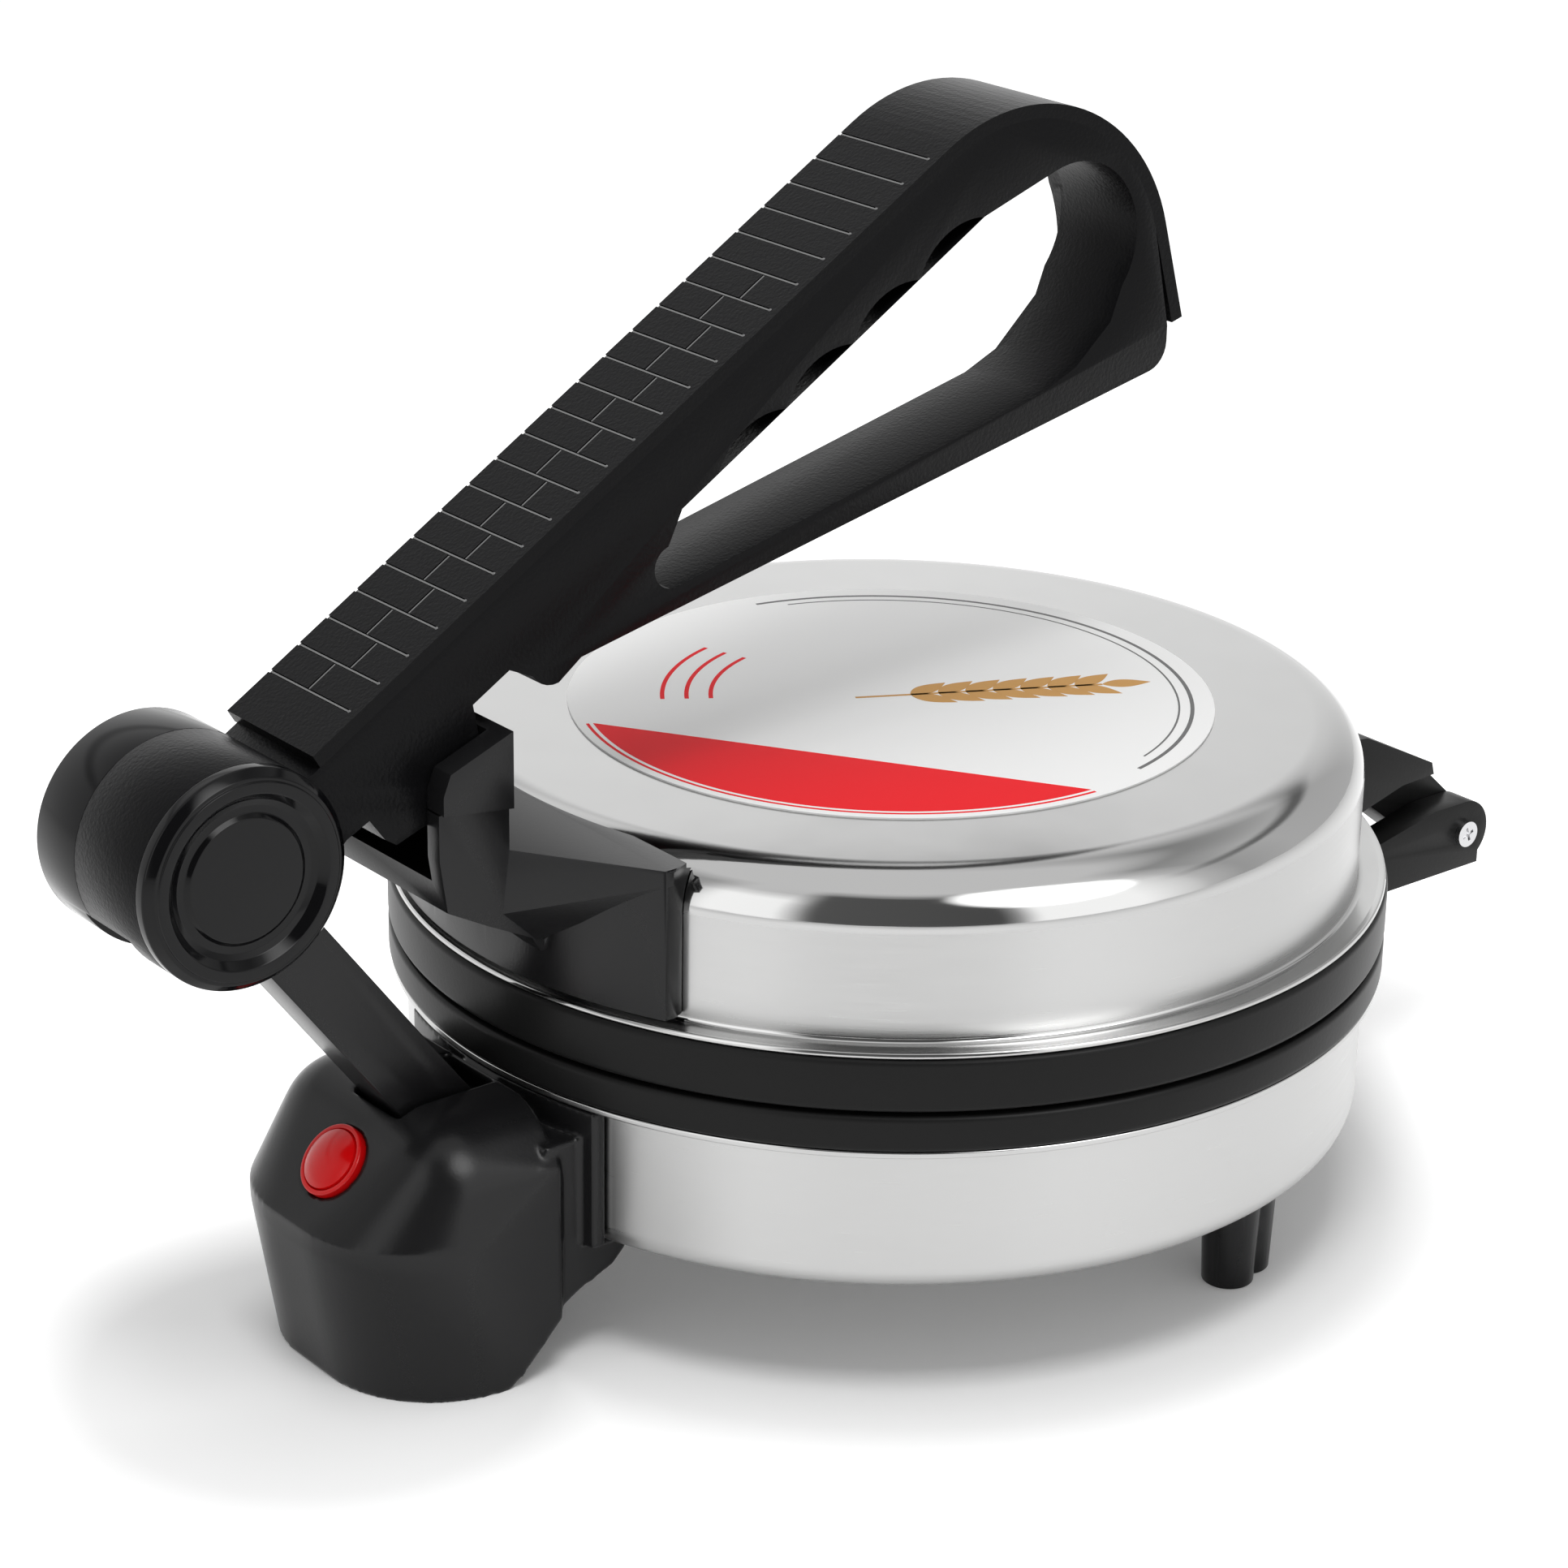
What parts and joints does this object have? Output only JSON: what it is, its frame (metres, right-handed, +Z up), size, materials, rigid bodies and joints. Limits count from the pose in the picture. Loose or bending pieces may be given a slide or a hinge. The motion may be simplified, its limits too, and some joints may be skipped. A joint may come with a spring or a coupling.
{
  "type": "electric roti maker",
  "caption": "Round countertop flatbread press cooker: steel pan and hinged lid with black rings, long looped front handle, link to a front housing with a red lamp.",
  "frame": {"origin": "on the resting plane, under the middle of the overall box; the round plates' axis is 21.15 mm behind it, at +Y", "axes": "+Z up, -Y towards the front where the handle's barrel and the housing are, +Y towards the rear hinge"},
  "size_m": [0.25, 0.4083, 0.2792],
  "materials": {
    "steel": "polished sheet, brushed walls",
    "ring_black": "matte-satin black",
    "plate_alloy": "cast, non-stick coated face",
    "heater_tube": "dull sheathed tube",
    "zinc": "zinc-plated",
    "ceramic": "unglazed porcelain",
    "housing_black": "fine satin black",
    "lens_red": "clear red, glossy",
    "lamp_white": "plain moulded",
    "soft_black": "soft",
    "badge_white": "printed film, satin",
    "handle_black": "leather-like grain",
    "barrel_gloss": "glossy black"
  },
  "bodies": {
    "base": {"base_pan": "steel", "base_ring": "ring_black", "lower_plate": "plate_alloy", "lower_heater": "heater_tube", "lower_heater_clamp": "zinc", "lower_thermostat": "ceramic", "lower_plate_screws": "zinc", "base_centre_bolt": "zinc", "base_spacer": "zinc", "front_housing": "housing_black", "housing_bottom_cover": "housing_black", "housing_cover_screws": "zinc", "housing_flange_screws": "zinc", "lamp_lens": "lens_red", "lamp_body": "lamp_white", "terminal_block": "ceramic", "cord_inlet_bush": "soft_black", "link_base_pin": "zinc", "rear_feet": "housing_black", "rear_foot_screws": "zinc", "base_hinge_bracket": "ring_black", "base_hinge_screws": "zinc", "hinge_pin": "zinc"},
    "lid": {"lid_cover": "steel", "lid_ring": "ring_black", "upper_plate": "plate_alloy", "upper_heater": "heater_tube", "upper_heater_clamp": "zinc", "upper_thermostat": "ceramic", "upper_plate_screws": "zinc", "upper_clamp_nut": "zinc", "lid_badge": "badge_white", "lid_bracket": "housing_black", "lid_bracket_screws": "zinc", "lid_hinge_bracket": "ring_black", "lid_hinge_screws": "zinc", "handle_pivot_pin": "zinc"},
    "handle": {"handle_body": "handle_black", "handle_top_cover": "handle_black", "handle_cover_screws": "zinc", "barrel_left_cup": "barrel_gloss", "barrel_right_cap": "barrel_gloss", "barrel_pin": "zinc"},
    "link": {"link_arm": "housing_black"}
  },
  "joints": [
    {"name": "lid_hinge", "type": "hinge", "parent": "base", "child": "lid", "pos_m": [0, 0.19515, 0.064], "axis": [-1, 0, 0], "range_deg": [0, 11]},
    {"name": "handle_pivot", "type": "hinge", "parent": "lid", "child": "handle", "pos_m": [0, -0.11985, 0.149], "axis": [1, 0, 0], "range_deg": [0, 53]},
    {"name": "link_pivot", "type": "hinge", "parent": "base", "child": "link", "pos_m": [0, -0.11485, 0.056], "axis": [-1, 0, 0], "range_deg": [0, 25]}
  ],
  "couplings": [
    {"joint": "handle_pivot", "follows": "lid_hinge", "ratio": 4.777},
    {"joint": "link_pivot", "follows": "lid_hinge", "ratio": 2.219}
  ]
}
